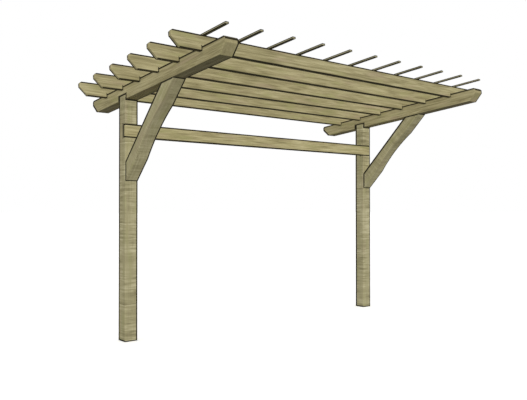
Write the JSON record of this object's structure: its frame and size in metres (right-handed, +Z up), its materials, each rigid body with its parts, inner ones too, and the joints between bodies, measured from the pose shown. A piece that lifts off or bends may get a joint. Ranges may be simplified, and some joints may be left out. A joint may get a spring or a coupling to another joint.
{
  "type": "pergola",
  "caption": "Open cantilevered timber pergola: posts with arched braces carry sloping beams, notched rafters with shaped ends and thin top battens.",
  "frame": {"origin": "centre of the left post's foot, on the ground", "axes": "+X along the rafters from the left post to the right post, -Y the front to which the roof reaches out, +Z up"},
  "size_m": [4.66, 2.6659, 3.0738],
  "materials": {
    "post_timber": "pressure-treated sawn softwood, khaki, matt",
    "roof_timber": "pressure-treated planed softwood, khaki, matt",
    "batten_timber": "pressure-treated sawn batten, pale khaki, matt"
  },
  "bodies": {
    "root": {"left_post": "post_timber", "right_post": "post_timber", "left_brace": "post_timber", "right_brace": "post_timber", "left_beam": "roof_timber", "right_beam": "roof_timber", "rail": "roof_timber", "rafter_1": "roof_timber", "rafter_2": "roof_timber", "rafter_3": "roof_timber", "rafter_4": "roof_timber", "rafter_5": "roof_timber", "rafter_6": "roof_timber", "batten_1": "batten_timber", "batten_2": "batten_timber", "batten_3": "batten_timber", "batten_4": "batten_timber", "batten_5": "batten_timber", "batten_6": "batten_timber", "batten_7": "batten_timber", "batten_8": "batten_timber", "batten_9": "batten_timber", "batten_10": "batten_timber", "batten_11": "batten_timber"}
  },
  "joints": []
}
